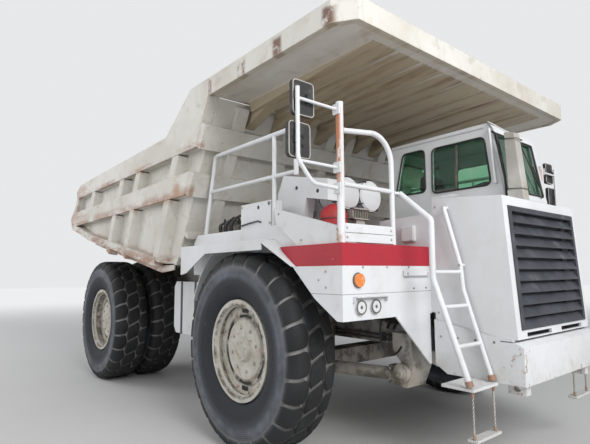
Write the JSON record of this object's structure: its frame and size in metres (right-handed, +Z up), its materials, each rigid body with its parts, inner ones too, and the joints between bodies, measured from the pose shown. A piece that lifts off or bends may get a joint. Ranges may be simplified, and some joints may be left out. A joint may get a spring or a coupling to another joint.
{
  "type": "mining dump truck",
  "caption": "Rigid mining dump truck with tipping rock body, steered front wheels, twin rear wheels, hoist cylinders and a cab with an opening door.",
  "frame": {"origin": "centre of the bounding box, on the ground", "axes": "+X forward, +Y to the truck's left, +Z up"},
  "size_m": [7.85, 4.622, 3.738],
  "materials": {
    "cream_paint": "dusty, chipped",
    "body_paint": "worn, dusty, rust at edges",
    "dark_paint": "dusty",
    "bare_steel": "oiled, dirty",
    "tyre": "dusty",
    "rim_paint": "rusty, dusty",
    "glass": "tinted",
    "lamp_glass": "ribbed",
    "red_lens": "dusty",
    "red_paint": "dusty",
    "seat_fabric": "worn",
    "dark_plastic": "dusty"
  },
  "bodies": {
    "chassis": {"frame": "cream_paint", "cross_members": "cream_paint", "deck_portals": "cream_paint", "bumper": "cream_paint", "hood": "cream_paint", "grille": "dark_paint", "radiator": "dark_paint", "engine": "bare_steel", "engine_cover": "cream_paint", "drive_shaft": "bare_steel", "deck_right": "cream_paint", "deck_left": "cream_paint", "cab_shell": "cream_paint", "cab_glass": "glass", "cab_seat": "seat_fabric", "cab_controls": "dark_plastic", "handrails": "cream_paint", "ladders": "cream_paint", "mirror_arms": "cream_paint", "mirrors": "dark_plastic", "air_cleaners": "cream_paint", "red_canister": "red_paint", "deck_boxes": "cream_paint", "intake_stack": "body_paint", "fuel_tank": "cream_paint", "hydraulic_tank": "cream_paint", "front_axle": "bare_steel", "front_struts": "bare_steel", "rear_axle": "bare_steel", "rear_struts": "bare_steel", "headlamps": "lamp_glass", "tail_lamps": "red_lens"},
    "right_steering_knuckle": {"knuckle_right": "bare_steel"},
    "left_steering_knuckle": {"knuckle_left": "bare_steel"},
    "track_rod": {"tie_rod": "bare_steel"},
    "right_steering_barrel": {"steering_barrel_right": "bare_steel"},
    "left_steering_barrel": {"steering_barrel_left": "bare_steel"},
    "right_steering_rod": {"steering_rod_right": "bare_steel"},
    "left_steering_rod": {"steering_rod_left": "bare_steel"},
    "right_front_wheel": {"front_tyre_right": "tyre", "front_rim_right": "rim_paint"},
    "left_front_wheel": {"front_tyre_left": "tyre", "front_rim_left": "rim_paint"},
    "right_rear_wheels": {"rear_tyres_right": "tyre", "rear_rims_right": "rim_paint"},
    "left_rear_wheels": {"rear_tyres_left": "tyre", "rear_rims_left": "rim_paint"},
    "dump_body": {"body_floor": "body_paint", "body_side_right": "body_paint", "body_side_left": "body_paint", "body_headboard": "body_paint", "body_canopy": "body_paint"},
    "hoist_barrel_pair": {"hoist_barrels": "cream_paint"},
    "hoist_stage_pair": {"hoist_stages": "bare_steel"},
    "hoist_rod_pair": {"hoist_rods": "bare_steel"},
    "cab_door_leaf": {"cab_door": "cream_paint", "door_glass": "glass"}
  },
  "joints": [
    {"name": "steer_right", "type": "hinge", "parent": "chassis", "child": "right_steering_knuckle", "pos_m": [1.755, -1.38, 0.93], "axis": [0, 0, 1], "range_deg": [-35, 35]},
    {"name": "steer_left", "type": "hinge", "parent": "chassis", "child": "left_steering_knuckle", "pos_m": [1.755, 1.38, 0.93], "axis": [0, 0, 1], "range_deg": [-35, 35]},
    {"name": "track_rod_turn", "type": "hinge", "parent": "right_steering_knuckle", "child": "track_rod", "pos_m": [1.375, -1.38, 0.715], "axis": [0, 0, 1], "range_deg": [-35, 35]},
    {"name": "right_steering_barrel_swing", "type": "hinge", "parent": "chassis", "child": "right_steering_barrel", "pos_m": [2.755, -0.78, 0.715], "axis": [0, 0, 1], "range_deg": [-5, 5]},
    {"name": "left_steering_barrel_swing", "type": "hinge", "parent": "chassis", "child": "left_steering_barrel", "pos_m": [2.755, 0.78, 0.715], "axis": [0, 0, 1], "range_deg": [-5, 5]},
    {"name": "right_steering_rod_slide", "type": "slide", "parent": "right_steering_barrel", "child": "right_steering_rod", "axis": [-0.9598, -0.2807, 0], "range_m": [-0.18, 0.18]},
    {"name": "left_steering_rod_slide", "type": "slide", "parent": "left_steering_barrel", "child": "left_steering_rod", "axis": [-0.9598, 0.2807, 0], "range_m": [-0.18, 0.18]},
    {"name": "front_wheel_right_spin", "type": "hinge", "parent": "right_steering_knuckle", "child": "right_front_wheel", "pos_m": [1.755, -1.7, 0.93], "axis": [0, 1, 0], "continuous": true},
    {"name": "front_wheel_left_spin", "type": "hinge", "parent": "left_steering_knuckle", "child": "left_front_wheel", "pos_m": [1.755, 1.7, 0.93], "axis": [0, 1, 0], "continuous": true},
    {"name": "rear_wheels_right_spin", "type": "hinge", "parent": "chassis", "child": "right_rear_wheels", "pos_m": [-2.335, -1.4, 0.93], "axis": [0, 1, 0], "continuous": true},
    {"name": "rear_wheels_left_spin", "type": "hinge", "parent": "chassis", "child": "left_rear_wheels", "pos_m": [-2.335, 1.4, 0.93], "axis": [0, 1, 0], "continuous": true},
    {"name": "body_tilt", "type": "hinge", "parent": "chassis", "child": "dump_body", "pos_m": [-3.145, 0, 1.95], "axis": [0, -1, 0], "range_deg": [0, 55]},
    {"name": "hoist_barrel_swing", "type": "hinge", "parent": "chassis", "child": "hoist_barrel_pair", "pos_m": [-0.245, 0, 0.8], "axis": [0, -1, 0], "range_deg": [-11, 1]},
    {"name": "hoist_stage_slide", "type": "slide", "parent": "hoist_barrel_pair", "child": "hoist_stage_pair", "axis": [-0.6862, 0, 0.7274], "range_m": [0, 0.87]},
    {"name": "hoist_rod_slide", "type": "slide", "parent": "hoist_stage_pair", "child": "hoist_rod_pair", "axis": [-0.6862, 0, 0.7274], "range_m": [0, 0.87]},
    {"name": "cab_door_swing", "type": "hinge", "parent": "chassis", "child": "cab_door_leaf", "pos_m": [3.105, 0.978, 2.5], "axis": [0, 0, -1], "range_deg": [0, 75]}
  ],
  "couplings": [
    {"joint": "steer_left", "follows": "steer_right", "ratio": 1},
    {"joint": "track_rod_turn", "follows": "steer_right", "ratio": -1},
    {"joint": "right_steering_barrel_swing", "follows": "steer_right", "ratio": -0.0329},
    {"joint": "left_steering_barrel_swing", "follows": "steer_right", "ratio": -0.0329},
    {"joint": "right_steering_rod_slide", "follows": "steer_right", "m_per_rad": 0.2757},
    {"joint": "left_steering_rod_slide", "follows": "steer_right", "m_per_rad": -0.2757},
    {"joint": "hoist_barrel_swing", "follows": "body_tilt", "ratio": -0.1844},
    {"joint": "hoist_stage_slide", "follows": "body_tilt", "m_per_rad": 0.8933},
    {"joint": "hoist_rod_slide", "follows": "body_tilt", "m_per_rad": 0.8933}
  ]
}
